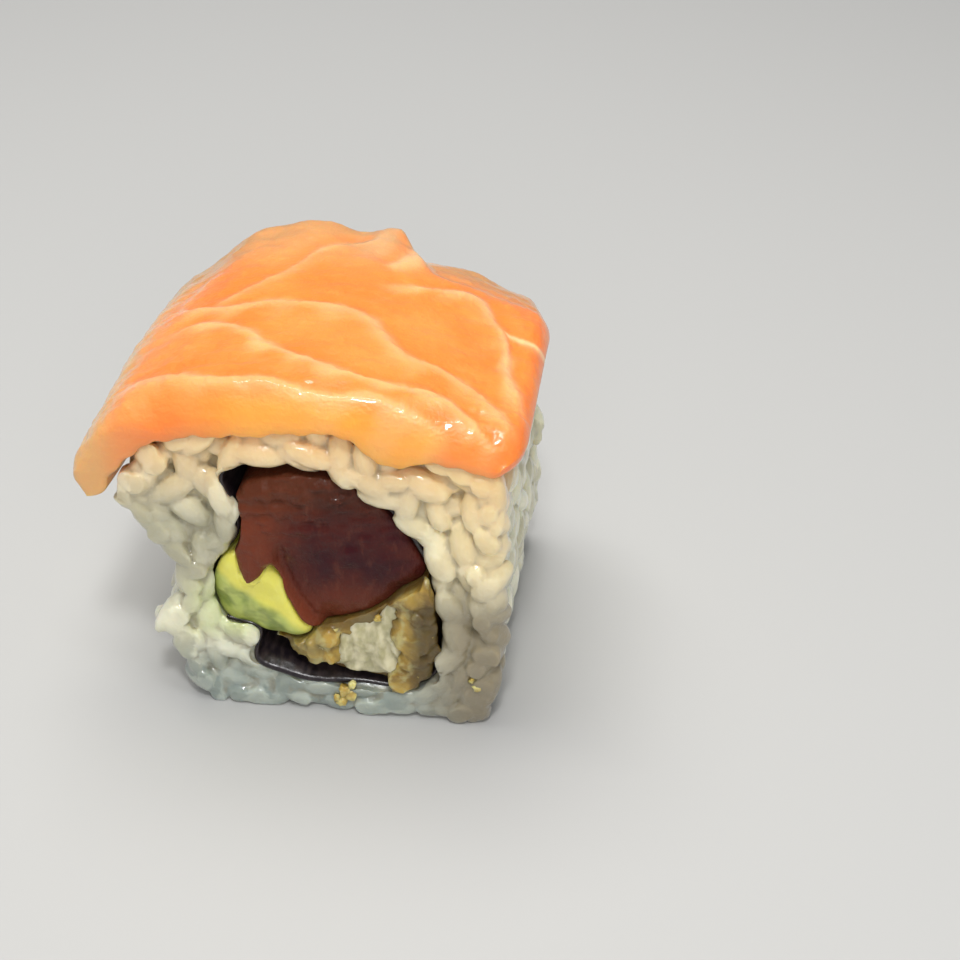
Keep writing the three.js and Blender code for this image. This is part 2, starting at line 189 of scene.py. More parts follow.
def fused_mesh(bm, name, voxel, rounds):
    """One closed skin round everything in the bmesh, eased by smoothing."""
    fused = applied(mesh_of(bm, name), "skin", "REMESH", mode="VOXEL", voxel_size=voxel)
    ease(fused, rounds)
    return fused


def thinned(mesh, most):
    """The same shape with no more than a given number of triangles."""
    triangles = sum(len(face.vertices) - 2 for face in mesh.polygons)
    if triangles <= most:
        return mesh
    return applied(mesh, "thinned", "DECIMATE", ratio=most / triangles)


def ease(mesh, rounds, factor=0.5):
    bm = bmesh.new()
    bm.from_mesh(mesh)
    for _ in range(rounds):
        bmesh.ops.smooth_vert(
            bm, verts=bm.verts[:], factor=factor, use_axis_x=True, use_axis_y=True, use_axis_z=True
        )
    bm.to_mesh(mesh)
    bm.free()


def paint(mesh, name, values):
    """Stores one number for each vertex, for the finish to read."""
    layer = mesh.attributes.new(name, "FLOAT", "POINT")
    layer.data.foreach_set("value", np.asarray(values, np.float32))


def serve(mesh, name, material):
    """Turns a mesh in millimetres into a finished piece in metres that rides with the roll."""
    mesh.name = name
    mesh.transform(Matrix.Scale(0.001, 4) @ Matrix.Translation((CENTRING, 0, 0)))
    mesh.shade_smooth()
    mesh.materials.clear()
    mesh.materials.append(material)
    piece = bpy.data.objects.new(name, mesh)
    bpy.context.collection.objects.link(piece)
    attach(piece, "root")
    return piece


class Wire:
    """A socket in a material. Arithmetic adds Math nodes, and node() adds any other node."""

    def __init__(self, tree, socket=None):
        self.tree = tree
        self.socket = socket

    def plug(self, target, value):
        if isinstance(value, Wire):
            self.tree.links.new(value.socket, target)
        elif hasattr(target.default_value, "__len__") and len(target.default_value) == 4:
            target.default_value = (*value[:3], 1)
        else:
            target.default_value = value

    def node(self, kind, settings=None, sockets=None, output=0):
        made = self.tree.nodes.new(kind)
        for key, value in (settings or {}).items():
            setattr(made, key, value)
        for key, value in (sockets or {}).items():
            self.plug(made.inputs[key], value)
        return Wire(self.tree, made.outputs[output])

    def math(self, operation, *values):
        return self.node("ShaderNodeMath", {"operation": operation}, dict(enumerate(values)))

    def __add__(self, other):
        return self.math("ADD", self, other)

    def __sub__(self, other):
        return self.math("SUBTRACT", self, other)

    def __rsub__(self, other):
        return self.math("SUBTRACT", other, self)

    def __mul__(self, other):
        return self.math("MULTIPLY", self, other)

    def __truediv__(self, other):
        return self.math("DIVIDE", self, other)

    def __pow__(self, other):
        return self.math("POWER", self, other)

    __radd__ = __add__
    __rmul__ = __mul__

    def between(self, low, high):
        """0 below the low value and 1 above the high one."""
        return self.node(
            "ShaderNodeMapRange", {"interpolation_type": "SMOOTHSTEP"},
            {"Value": self, "From Min": low, "From Max": high},
        )

    def parts(self):
        """The X, Y and Z of a wire that carries a place."""
        return {axis: self.node("ShaderNodeSeparateXYZ", {}, {"Vector": self}, axis) for axis in "XYZ"}

    def painted(self, name):
        """The numbers that paint() stored on the piece."""
        return self.node("ShaderNodeAttribute", {"attribute_name": name}, output="Fac")

    def mix(self, amount, first, second):
        """A blend of two colours by an amount from 0 to 1."""
        made = self.tree.nodes.new("ShaderNodeMix")
        made.data_type = "RGBA"
        for number, value in ((0, amount), (6, first), (7, second)):
            self.plug(made.inputs[number], value)
        return Wire(self.tree, made.outputs[2])


def new_finish(name):
    """A material, its shader, a wire to build with, and places on the piece in millimetres."""
    material = bpy.data.materials.new(name)
    material.use_nodes = True
    tree = material.node_tree
    shader = tree.nodes["Principled BSDF"]
    wire = Wire(tree)
    object_place = wire.node("ShaderNodeTexCoord", output="Object")
    place = wire.node("ShaderNodeMapping", {}, {
        "Vector": object_place, "Scale": (1000, 1000, 1000), "Location": (-CENTRING, 0, 0),
    })
    return material, shader, wire, place


def noise(wire, place, size, detail=2.0, roughness=0.5, stretch=(1, 1, 1)):
    """Random mottle from 0 to 1, with patches of about the given size."""
    pulled = wire.node("ShaderNodeMapping", {}, {"Vector": place, "Scale": stretch})
    return wire.node("ShaderNodeTexNoise", {}, {
        "Vector": pulled, "Scale": 1 / size, "Detail": detail, "Roughness": roughness,
    })


def fleshy(shader, weight, radius, scale, roughness, coat=0.0, coat_roughness=0.2):
    """Light goes a little way into moist food, and its wet skin shines."""
    shader.inputs["Subsurface Weight"].default_value = weight
    shader.inputs["Subsurface Radius"].default_value = radius
    shader.inputs["Subsurface Scale"].default_value = scale
    shader.inputs["Roughness"].default_value = roughness
    shader.inputs["Coat Weight"].default_value = coat
    shader.inputs["Coat Roughness"].default_value = coat_roughness


def bump(wire, shader, height, distance, strength=1.0):
    made = wire.node("ShaderNodeBump", {}, {
        "Height": height, "Distance": distance * 0.001, "Strength": strength,
    })
    wire.plug(shader.inputs["Normal"], made)


# The salmon's middle line and thickness shape the slice, and the rice under it follows them
SALMON_LINE = [
    (-22.0, 27.5), (-21.3, 31.8), (-18.3, 35.8), (-12.0, 39.0), (-4.0, 40.2), (3.5, 40.2),
    (11.0, 38.8), (17.5, 36.9), (22.7, 36.1),
]
SALMON_THICKNESS = 4.4
salmon_line = curve_through(SALMON_LINE, 600, closed=False)


def smooth_step(values, low, high):
    share = np.clip((values - low) / (high - low), 0, 1)
    return share * share * (3 - 2 * share)


def back_fall(x, y):
    """How far the slice and the rice under it fall away at the two back corners."""
    flap_edge = 8.5 - 0.5 * np.clip(y - 10, 0, None)
    start = 9 - 5 * smooth_step(x, 16, 23)
    depth = 3.4 - 0.9 * np.exp(-((x - 12.5) / 3) ** 2)
    right = depth * np.clip((y - start) / (HALF_LENGTH - start), 0, 1) ** 1.5
    right += 0.7 * smooth_step(y, 8, 11)
    left = 3.0 * smooth_step(-x, 11, 18) * np.clip((y + 2) / 19.5, 0, 1) ** 1.3
    return right * smooth_step(x - flap_edge, -0.4, 1.6) + left


def front_droop(x, y):
    """The soft front edge of the slice hangs lower over the rice, most of all on the right."""
    hanging = 1.2 * np.exp(-((x + 7) / 8) ** 2) + 2.4 * np.exp(-((x - 10) / 3.4) ** 4)
    hanging += 0.16 * np.sin(1.3 * x + 1) + 0.1 * np.sin(2.9 * x)
    return hanging * np.exp(-(y + HALF_LENGTH) / 2.8)


salmon_guard = Outline(SALMON_LINE, closed=False)


def softly_below(values, limit, give):
    """Values pressed below a limit, with a rounded shoulder as deep as the give."""
    over = np.maximum(values - (limit - give), 0)
    return np.minimum(values, limit - give) + give * np.tanh(over / give)


def below_salmon(x, y, z):
    """How far one place in the rice lies under the slice."""
    sunk = front_droop(x, y) + back_fall(x, y)
    return salmon_guard.nearest(np.array([[x, z + sunk]]))[1][0] - SALMON_THICKNESS / 2


rice_outline = Outline(RICE_CORNERS)
cavity = Outline(CAVITY_CORNERS)
rice_rng = np.random.default_rng(7)


def along_outline(outline, pitch):
    """Numbers of the outline's points that lie about a pitch apart."""
    steps = np.linalg.norm(np.roll(outline.points, -1, 0) - outline.points, axis=1)
    length = np.cumsum(steps)
    count = round(length[-1] / pitch)
    wanted = (np.arange(count) + 0.8 * rice_rng.random(count)) * length[-1] / count
    return np.searchsorted(length, wanted).clip(0, len(length) - 1)


def side_spots(depth, pitch):
    """Places for grains round the sides, each with its way out, way along and free turn."""
    spots = []
    rows = round(2 * HALF_LENGTH / pitch)
    for row in range(rows):
        for number in along_outline(rice_outline, pitch):
            x, z = rice_outline.points[number]
            if z > 34 and -13 < x < 16:
                continue
            out_x, out_z = rice_outline.side[number]
            sunk = depth + 0.5 * rice_rng.random()
            y = (row + 0.5 + 0.7 * (rice_rng.random() - 0.5)) * 2 * HALF_LENGTH / rows - HALF_LENGTH
            y = float(np.clip(y, 1.8 - HALF_LENGTH, HALF_LENGTH - 1.8))
            lifted = max(z - out_z * sunk, 1.0 + 0.4 * rice_rng.random())
            place = Vector((x - out_x * sunk, y, lifted))
            spots.append((place, Vector((out_x, 0, out_z)), Vector((0, 1, 0)), 1))
    return spots


def face_spots(depth, pitch, end):
    """Places for grains on a cut face, between the outline and the nori."""
    spots = []
    rows = np.arange(0.6, 40, pitch * 0.87)
    for row, z_row in enumerate(rows):
        for x_column in np.arange(-23 + (row % 2) * pitch / 2, 24, pitch):
            x = x_column + 0.6 * pitch * (rice_rng.random() - 0.5)
            z = z_row + 0.6 * pitch * (rice_rng.random() - 0.5)
            where = np.array([[x, z]])
            number, outside = (found[0] for found in cavity.nearest(where))
            outer_number, inside = (found[0] for found in rice_outline.nearest(where))
            if -inside < 1.3 or outside < 0.5 or z < 0.8:
                continue
            y = end * (HALF_LENGTH - depth - 0.7 * rice_rng.random())
            if below_salmon(x, y, z) < CLEAR_OF_SALMON:
                continue
            out_x, out_z = cavity.side[number]
            spread = 0.22 if outside < 1.8 else 1
            if -inside < 3.2:
                out_x, out_z = rice_outline.side[outer_number]
                spread = 0.3
            along = Vector((-out_z, 0, out_x))
            spots.append((Vector((x, y, z)), Vector((0, end, 0)), along, spread))
    return spots


def rim_spots(end):
    """Places for grains along the corner between the sides and a cut face."""
    spots = []
    for number in along_outline(rice_outline, 3.9):
        x, z = rice_outline.points[number]
        out_x, out_z = rice_outline.side[number]
        sunk = 1.15 + 0.45 * rice_rng.random()
        place = Vector((x - out_x * sunk, end * (HALF_LENGTH - sunk), max(z - out_z * sunk, 1.1)))
        if z < -1 or below_salmon(*place) < CLEAR_OF_SALMON:
            continue
        out = Vector((out_x, end, out_z)).normalized()
        spots.append((place, out, Vector((-out_z, 0, out_x)), 0.7))
    return spots


def mouth_spots(end):
    """Places for grains round the mouth of the nori, which they overhang a little."""
    spots = []
    for number in along_outline(cavity, 3.4):
        x, z = cavity.points[number]
        out_x, out_z = cavity.side[number]
        away = 0.75 + 0.5 * rice_rng.random()
        sunk = 1.3 + 0.7 * rice_rng.random()
        place = Vector((x + out_x * away, end * (HALF_LENGTH - sunk), z + out_z * away))
        spots.append((place, Vector((0, end, 0)), Vector((-out_z, 0, out_x)), 0.6))
    return spots


def grain_frame(spot):
    """The matrix that lays one grain down, turned and tilted at random."""
    place, out, along, spread = spot
    turn = Matrix.Rotation(math.pi * spread * (rice_rng.random() - 0.5), 3, out)
    lengthwise = (turn @ along + out * 0.45 * (rice_rng.random() - 0.5)).normalized()
    sideways = lengthwise.cross(out).normalized()
    up = sideways.cross(lengthwise)
    swell = 0.5 * (1 + 0.26 * (rice_rng.random(3) - 0.5))
    axes = Matrix((
        lengthwise * GRAIN_LENGTH * swell[0],
        sideways * GRAIN_WIDTH * swell[1],
        up * GRAIN_THICKNESS * swell[2],
    )).transposed()
    return Matrix.Translation(place) @ axes.to_4x4()


def rice_core(bm, inset):
    """A ring set back from the outline and from the cavity, closed at both cuts."""
    count = 120
    half = HALF_LENGTH - inset
    loops = []
    for outline, shift in ((rice_outline, -inset), (cavity, 0.4)):
        every = len(outline.points) // count
        line = (outline.points + outline.side * shift)[::every]
        rim = bmesh.ops.create_circle(bm, radius=1, segments=count)["verts"]
        for vert, (x, z) in zip(rim, line):
            vert.co = (x, -half, max(z, inset))
        loops += [edge for vert in rim for edge in vert.link_edges]
    ring = bmesh.ops.bridge_loops(bm, edges=list(set(loops)))["faces"]
    pulled = bmesh.ops.extrude_face_region(bm, geom=ring, use_keep_orig=True)["geom"]
    moved = [item for item in pulled if isinstance(item, bmesh.types.BMVert)]
    bmesh.ops.translate(bm, verts=moved, vec=(0, 2 * half, 0))
    bmesh.ops.recalc_face_normals(bm, faces=bm.faces[:])


def rice_grain():
    """A plump grain, slightly bent, with one end a little finer."""
    bm = bmesh.new()
    bmesh.ops.create_icosphere(bm, subdivisions=2, radius=1)
    for vert in bm.verts:
        x = vert.co.x
        narrowed = 1 - 0.1 * x
        vert.co.y = vert.co.y * narrowed + 0.1 * x * x
        vert.co.z *= narrowed
    return mesh_of(bm, "grain")


spots = []
for depth, pitch in GRAIN_LAYERS:
    spots += side_spots(depth, pitch)
    spots += face_spots(depth + FACE_DEEPER, pitch, -1)
    spots += face_spots(depth + FACE_DEEPER, pitch, 1)
spots += rim_spots(-1) + rim_spots(1) + mouth_spots(-1) + mouth_spots(1)
frames = [grain_frame(spot) for spot in spots]
rice_bm = bmesh.new()
rice_core(rice_bm, CORE_INSET)
grain = rice_grain()
for placed in frames:
    laid = grain.copy()
    laid.transform(placed)
    rice_bm.from_mesh(laid)
    bpy.data.meshes.remove(laid)
rice_mesh = fused_mesh(rice_bm, "rice_grains", RICE_VOXEL, 1)


def settle_rice(mesh):
    """Keeps the grains out of the nori, the salmon and the board, and inside the cuts."""
    places = places_of(mesh)
    x, y, z = places.T
    lip = smooth_step(np.abs(y), 15.4, 16.4)
    # Less rice hangs over the nori at the bottom, and more at the upper left and the right
    overhang = 0.9 + 0.4 * ripples(places * (1, 0.3, 1), 3.6, 17)
    overhang += 0.5 * smooth_step(z, 28, 32) * smooth_step(x, -5, -2)
    overhang -= (1.2 + 0.8 * np.exp(-((x + 1) / 6) ** 2)) * (1 - smooth_step(z, 6.5, 9.5))
    overhang += 0.5 * smooth_step(x, 7, 10) * smooth_step(z, 14, 19)
    overhang -= 0.6 * np.exp(-((x + 8.4) ** 2 + (z - 31.2) ** 2) / 12)
    flat = cavity.push_out(places[:, [0, 2]], overhang * lip)
    sunk = front_droop(flat[:, 0], y) + back_fall(flat[:, 0], y)
    raised = flat + np.column_stack([np.zeros(len(x)), sunk])
    number, below = salmon_guard.nearest(raised)
    under = (number > 3) & (number < len(salmon_guard.points) - 4) & (below > -6)
    needed = np.where(under, np.maximum(SALMON_THICKNESS / 2 + CUT_MARGIN - below, 0), 0)[:, None]
    flat = raised + salmon_guard.side[number] * needed
    flat[:, 1] -= sunk
    places[:, 0] = flat[:, 0]
    places[:, 2] = -softly_below(-flat[:, 1], 0, 0.35)
    limit = HALF_LENGTH - CUT_MARGIN - 0.5 * under * (1 - smooth_step(below, 2.3, 3.8))
    places[:, 1] = np.sign(y) * softly_below(np.abs(y), limit, 0.6)
    put_places(mesh, places)


settle_rice(rice_mesh)
rice_mesh = thinned(rice_mesh, MOST_TRIANGLES)
kept = places_of(rice_mesh)
kept[:, 1] = np.clip(kept[:, 1], -HALF_LENGTH, HALF_LENGTH)
kept[:, 2] = np.maximum(kept[:, 2], 0)
put_places(rice_mesh, kept)


def hollows(mesh):
    """How deep each place lies in a hollow between grains, from 0 to 1, for the painted shade there."""
    places = places_of(mesh)
    normals = np.empty(len(places) * 3, np.float32)
    mesh.vertex_normals.foreach_get("vector", normals)
    normals = normals.reshape(-1, 3)
    ends = np.empty(len(mesh.edges) * 2, np.int32)
    mesh.edges.foreach_get("vertices", ends)
    one, other = ends.reshape(-1, 2).T
    count = np.bincount(ends, minlength=len(places))

    def averaged(values):
        total = np.bincount(one, values[other], len(places)) + np.bincount(other, values[one], len(places))
        return total / np.maximum(count, 1)

    bend = sum((averaged(places[:, k]) - places[:, k]) * normals[:, k] for k in range(3))
    for _ in range(4):
        bend = 0.4 * bend + 0.6 * averaged(bend)
    return np.clip(bend / CREASE_BEND, 0, 1)


tints = rice_rng.random(len(frames))
tree = KDTree(len(frames))
for number, placed in enumerate(frames):
    tree.insert(placed.translation, number)
tree.balance()
paint(rice_mesh, "tint", [tints[tree.find(place)[1]] for place in places_of(rice_mesh)])
paint(rice_mesh, "crease_shade", hollows(rice_mesh))

rice_finish, shader, wire, place = new_finish("cooked_rice")
parts = place.parts()
tint = wire.painted("tint")
milky = noise(wire, place, 2.6, 1.0) * 0.5 + tint * 0.5
painted_warm_light = parts["Z"].between(24, 37)
painted_cool_shade = (1 - parts["Z"].between(2, 12)) * (1 - parts["Y"].between(-15, -8) * 0.6)
shade_band_under_salmon = parts["Z"].between(15, 20) * (1 - parts["Z"].between(24, 31))
shaded = shade_band_under_salmon * (1 - parts["X"].between(-10, -2))
body = wire.mix(milky.between(0.3, 0.75), (0.60, 0.58, 0.42), (0.86, 0.84, 0.64))
# Painted shade: the lower front of the rice turns bluish grey
bluish_shade = wire.mix(milky.between(0.3, 0.7), (0.22, 0.27, 0.255), (0.37, 0.42, 0.38))
body = wire.mix(painted_cool_shade * 0.9, body, bluish_shade)
crease_shade = wire.painted("crease_shade")
# Painted light and shade on the right of the front face: a dark brown shadow low down, warm light above it
right = parts["X"].between(8, 18) * (1 - parts["Y"].between(-15.5, -12))
body = wire.mix(right * (1 - parts["Z"].between(14, 24)) * 0.9, body, (0.24, 0.195, 0.12))
body = wire.mix(right * parts["Z"].between(15, 25) * 0.6, body, (0.95, 0.72, 0.36))
# Painted shade: grey on the upper left, under the salmon's left end
body = wire.mix(shaded * 0.7, body, (0.34, 0.32, 0.22))
# Painted light: rice high up under the salmon is coloured warm and bright
body = wire.mix(painted_warm_light * 0.85, body, (0.86, 0.59, 0.285))
beside_avocado = parts["X"].between(-15, -11) * (1 - parts["X"].between(-8, -6))
beside_avocado = beside_avocado * parts["Z"].between(8, 11) * (1 - parts["Z"].between(15, 19))
body = wire.mix(beside_avocado * 0.45, body, (0.52, 0.62, 0.22))
# Painted shade in the creases between grains
body = wire.mix(crease_shade * 0.42, body, (0.36, 0.31, 0.20))
wire.plug(shader.inputs["Base Color"], body)
fleshy(shader, 0.8, (1.0, 0.85, 0.6), 0.0017, 0.30, coat=0.9, coat_roughness=0.16)
bump(wire, shader, noise(wire, place, 0.9, 2.0) + noise(wire, place, 0.35, 1.0) * 0.3, 0.14)
rice_piece = serve(rice_mesh, "rice_grains", rice_finish)
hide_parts("rice")

# The nori is one sheet of dried seaweed, rolled round the fillings and now damp from the
# rice. Its ends stop short of each other, where the avocado meets the rice, and its cut
# edges are slightly ragged and set back from the rice.
NORI_THICKNESS = 0.35
NORI_INSET = 0.35
NORI_BACK = 1.9
NORI_POINTS = 1700
NORI_SPAN = 15 / len(CAVITY_CORNERS)
# Shares of the way round at which the sheet reaches further forward
UPPER_LEFT = 0.725
LOWER_LEFT = 0.18


def nori_sheet():
    across, along = 220, 60
    bm = bmesh.new()
    bmesh.ops.create_grid(bm, x_segments=across, y_segments=along, size=1)
    loop = Outline(CAVITY_CORNERS, count=NORI_POINTS)
    for vert in bm.verts:
        share = (vert.co.x + 1) / 2 * NORI_SPAN
        number = int(share * NORI_POINTS)
        ragged = 0.25 * math.sin(31 * share) + 0.15 * math.sin(83 * share + 1)
        forward = 0.9 * math.exp(-((share - UPPER_LEFT) / 0.045) ** 2)
        bottom = math.exp(-((share - LOWER_LEFT) / 0.08) ** 2)
        forward += 1.5 * bottom
        half = HALF_LENGTH - NORI_BACK + forward + ragged * np.sign(vert.co.y)
        flared = 0.7 * bottom * max(0, abs(vert.co.y) - 0.9) / 0.1
        x, z = loop.points[number] - loop.side[number] * (NORI_INSET - flared)
        wave = 0.1 * math.sin(9 * vert.co.y + 40 * share)
        vert.co = (x + wave * loop.side[number][0], vert.co.y * half, z + wave * loop.side[number][1])
    bmesh.ops.recalc_face_normals(bm, faces=bm.faces[:])
    bmesh.ops.solidify(bm, geom=bm.faces[:], thickness=NORI_THICKNESS)
    bmesh.ops.recalc_face_normals(bm, faces=bm.faces[:])
    return mesh_of(bm, "nori_sheet")


nori_finish, shader, wire, place = new_finish("damp_nori")
fibre = noise(wire, place, 0.7, 3.0, stretch=(1, 0.35, 1))
wire.plug(
    shader.inputs["Base Color"],
    wire.mix(fibre.between(0.35, 0.7), (0.010, 0.007, 0.010), (0.035, 0.025, 0.025)),
)
fleshy(shader, 0.0, (1, 1, 1), 0.001, 0.32, coat=0.3, coat_roughness=0.2)
bump(wire, shader, fibre, 0.15)
nori_piece = serve(nori_sheet(), "nori_sheet", nori_finish)
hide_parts("nori")

# The tuna is a thick strip of raw dark red fish. Two lobes of muscle show at the cut, with
# a flap that hangs over the avocado, and its wet end is domed where the knife left it.
TUNA_CORNERS = [
    (-6.2, 30.2), (-7.7, 27.2), (-8.1, 23.6), (-7.7, 18.9), (-7.0, 16.2), (-5.6, 17.5),
    (-4.2, 19.7), (-3.5, 18.7), (-2.4, 14.7), (-0.5, 11.6), (3.0, 12.2), (7.0, 14.3), (9.6, 17.0),
    (12.0, 19.0), (11.9, 22.8), (10.0, 26.0), (7.4, 29.0), (4.2, 31.0), (0.4, 31.8), (-3.0, 31.4),
]
FILLING_VOXEL = 0.32
filling_room = Outline(CAVITY_CORNERS)
tuna_outline = Outline(TUNA_CORNERS)


def keep_in_nori(places):
    """Fillings stop at the nori, and swell a little in front of its edge."""
    number, outside = filling_room.nearest(places[:, [0, 2]])
    swell = 0.4 + 0.35 * ripples(places, 5, 41) + 0.8 * (1 - smooth_step(places[:, 2], 6, 8))
    swell *= smooth_step(np.abs(places[:, 1]), 15.9, 16.5) * smooth_step(places[:, 0], -4, 2)
    spare = np.maximum(0, outside + 0.9 - swell)[:, None]
    places[:, [0, 2]] -= filling_room.side[number] * spare


def tuna_strip():
    bm = bar_from(tuna_outline.points[::3], HALF_LENGTH - 0.1)
    mesh = fused_mesh(bm, "tuna_strip", FILLING_VOXEL, 3)
    places = places_of(mesh)
    x, y, z = places.T
    edge = np.maximum(tuna_outline.depth(places[:, [0, 2]]), 0)
    lean = -3.2 + 0.05 * (z - 21) ** 2
    high = np.clip((z - 20) / 9, 0, 1)
    fold = np.exp(-((x - lean) / (0.4 + 0.9 * high)) ** 2) * (1 - high)
    lobe = 1 / (1 + np.exp((x - lean) / (0.25 + 1.2 * high)))
    rim = lobe * 0.9 * np.exp(-edge / 0.6) + (1 - lobe) * 1.7 * np.exp(-edge / 2.2)
    sunk = 0.2 + rim + 0.6 * fold + 0.8 * (1 - lobe) * (1 - high)
    sunk += 0.12 * ripples(places * (1, 0, 1), 2.2, 3) + 0.06 * ripples(places * (1, 0, 1), 0.9, 4)
    sunk += 0.22 * high * ripples(places * (0.7, 0, 1.3), 1.6, 6)
    at_end = np.clip((np.abs(y) - (HALF_LENGTH - 3)) / 2.9, 0, 1)
    places[:, 1] -= np.sign(y) * np.maximum(sunk, 0.05) * at_end
    keep_in_nori(places)
    put_places(mesh, places)
    paint(mesh, "lobe", lobe)
    return mesh


tuna_mesh = tuna_strip()
tuna_finish, shader, wire, place = new_finish("raw_tuna")
grain_lines = noise(wire, place, 0.8, 4.0, 0.6, stretch=(0.9, 0.5, 0.35))
lobe = wire.painted("lobe")
height = place.parts()["Z"]
low = 1 - height.between(14, 20)
patches = noise(wire, place, 5.0, 2.0)
body = wire.mix(patches.between(0.3, 0.7), (0.040, 0.006, 0.009), (0.082, 0.015, 0.010))
body = wire.mix(low * 0.7, body, (0.15, 0.034, 0.016))
body = wire.mix(lobe * 0.85, body, (0.18, 0.040, 0.016))
body = wire.mix(height.between(25, 30) * 0.55, body, (0.07, 0.026, 0.012))
body = wire.mix(grain_lines.between(0.5, 0.75) * 0.35, body, (0.17, 0.050, 0.028))
wire.plug(shader.inputs["Base Color"], body)
fleshy(shader, 0.25, (1.0, 0.25, 0.18), 0.0012, 0.40, coat=0.14, coat_roughness=0.10)
shader.inputs["Specular IOR Level"].default_value = 0.12
wet = noise(wire, place, 0.45, 2.0, 0.5, stretch=(1, 1, 0.5))
bump(wire, shader, grain_lines + wet * 0.3, 0.24)
tuna_piece = serve(tuna_mesh, "tuna_strip", tuna_finish)
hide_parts("tuna")

# The avocado is a soft ripe wedge, cut smooth. It is yellow near the stone and green
# towards the skin, and lies in the mouth of the nori against the rice.
AVOCADO_CORNERS = [
    (-8.6, 20.6), (-10.4, 18.0), (-11.0, 13.8), (-9.6, 10.4), (-5.4, 9.2), (-1.4, 9.6),
    (-0.2, 10.9), (-1.6, 14.0), (-3.4, 17.6), (-5.6, 20.0),
]
avocado_outline = Outline(AVOCADO_CORNERS)


def avocado_wedge():
    bm = bar_from(avocado_outline.points[::4], HALF_LENGTH - 0.5)
    mesh = fused_mesh(bm, "avocado_wedge", FILLING_VOXEL, 3)
    places = places_of(mesh)
    y = places[:, 1]
    edge = np.maximum(avocado_outline.depth(places[:, [0, 2]]), 0)
    slope = 0.63 * places[:, 0] + 0.775 * places[:, 2]
    sunk = 0.4 + 0.8 * np.exp(-edge / 0.6) + 0.12 * ripples(places * (1, 0, 1), 3.0, 5)
    sunk += 0.28 * np.clip(7.4 - slope, 0, 4)
    at_end = np.clip((np.abs(y) - (HALF_LENGTH - 3.4)) / 2.9, 0, 1)
    places[:, 1] -= np.sign(y) * sunk * at_end
    places[:, [0, 2]] = tuna_outline.push_out(places[:, [0, 2]], -0.05)
    put_places(mesh, places)
    return mesh


avocado_finish, shader, wire, place = new_finish("ripe_avocado")
parts = place.parts()
across = parts["Z"] * 0.775 + parts["X"] * 0.63 + noise(wire, place, 3.0) * 0.8
green = 1 - across.between(7.6, 8.8)
skin_side = wire.mix(noise(wire, place, 2.6).between(0.4, 0.6), (0.24, 0.31, 0.07), (0.46, 0.53, 0.13))
body = wire.mix(green, (0.76, 0.71, 0.125), skin_side)
body = wire.mix(noise(wire, place, 1.4, 3.0).between(0.4, 0.8) * 0.25, body, (0.80, 0.78, 0.26))
wire.plug(shader.inputs["Base Color"], body)
fleshy(shader, 0.5, (1.0, 0.9, 0.3), 0.0016, 0.42, coat=0.2)
bump(wire, shader, noise(wire, place, 1.1, 3.0), 0.12)
avocado_piece = serve(avocado_wedge(), "avocado_wedge", avocado_finish)
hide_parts("avocado")

# The prawn is dipped in crumb batter and fried, then laid under the tuna. Its white flesh
# flakes at the cut, and soft golden batter fills the space between it and the nori.
PRAWN_CORNERS = [
    (1.0, 6.8), (3.2, 5.6), (6.7, 5.0), (9.5, 5.5), (9.8, 9.0), (9.1, 11.6), (9.5, 14.4),
    (8.8, 15.6), (7.6, 14.2), (6.2, 12.4), (4.4, 12.1), (3.0, 11.0), (2.4, 9.0),
]
BATTER_CORNERS = [
    (-4.6, 9.3), (-2.8, 8.4), (-0.6, 7.4), (1.6, 5.6), (6.0, 4.6), (11.4, 4.5), (13.5, 8.0),
    (13.8, 14.0), (13.0, 19.6), (11.0, 18.2), (9.0, 16.4), (7.0, 14.5), (4.0, 12.8), (0.4, 11.6),
    (-0.8, 9.9), (-3.0, 9.4),
]
prawn_outline = Outline(PRAWN_CORNERS)
batter_outline = Outline(BATTER_CORNERS)


def crags(places, size, seed):
    """Sharp-topped random relief from 0 to 1, like torn flakes."""
    return 1 - np.abs(ripples(places, size, seed)).clip(0, 1)


def clear_of_others(places):
    keep_in_nori(places)
    for other in (tuna_outline, avocado_outline):
        places[:, [0, 2]] = other.push_out(places[:, [0, 2]], -0.08)


def prawn_flesh():
    bm = bar_from(prawn_outline.points[::4], HALF_LENGTH - 0.2)
    mesh = fused_mesh(bm, "prawn_flesh", 0.26, 2)
    places = places_of(mesh)
    y = places[:, 1].copy()
    edge = np.maximum(prawn_outline.depth(places[:, [0, 2]]), 0)
    face = places * (1, 0, 1) + np.sign(y)[:, None] * (0, 40, 0)
    sunk = 0.3 + 0.9 * np.exp(-edge / 0.6) + 0.7 * crags(face * (1.0, 1, 0.45), 3.0, 8)
    sunk += 0.2 * crags(face, 1.2, 9)
    at_end = np.clip((np.abs(y) - (HALF_LENGTH - 3.4)) / 3.0, 0, 1)
    places[:, 1] -= np.sign(y) * sunk * at_end
    clear_of_others(places)
    put_places(mesh, places)
    paint(mesh, "deep", sunk)
    return mesh


def crumb_shape(rng, subdivisions, rough):
    """A torn lump with no two sides alike."""
    bm = bmesh.new()
    bmesh.ops.create_icosphere(bm, subdivisions=subdivisions, radius=1)
    for vert in bm.verts:
        vert.co *= 1 - rough / 2 + rough * rng.random()
    return mesh_of(bm, "crumb")


def crumb_frame(rng, x, y, z, size):
    turn = Matrix.Rotation(2 * math.pi * rng.random(), 4, Vector(rng.normal(size=3)))
    spread = Matrix.Diagonal((*(size * (0.55 + 0.7 * rng.random(3))), 1))
    return Matrix.Translation((x, y, z)) @ turn @ spread


def lay_crumbs(bm, shapes, frames):
    for number, placed in enumerate(frames):
        laid = shapes[number % len(shapes)].copy()
        laid.transform(placed)
        bm.from_mesh(laid)
        bpy.data.meshes.remove(laid)


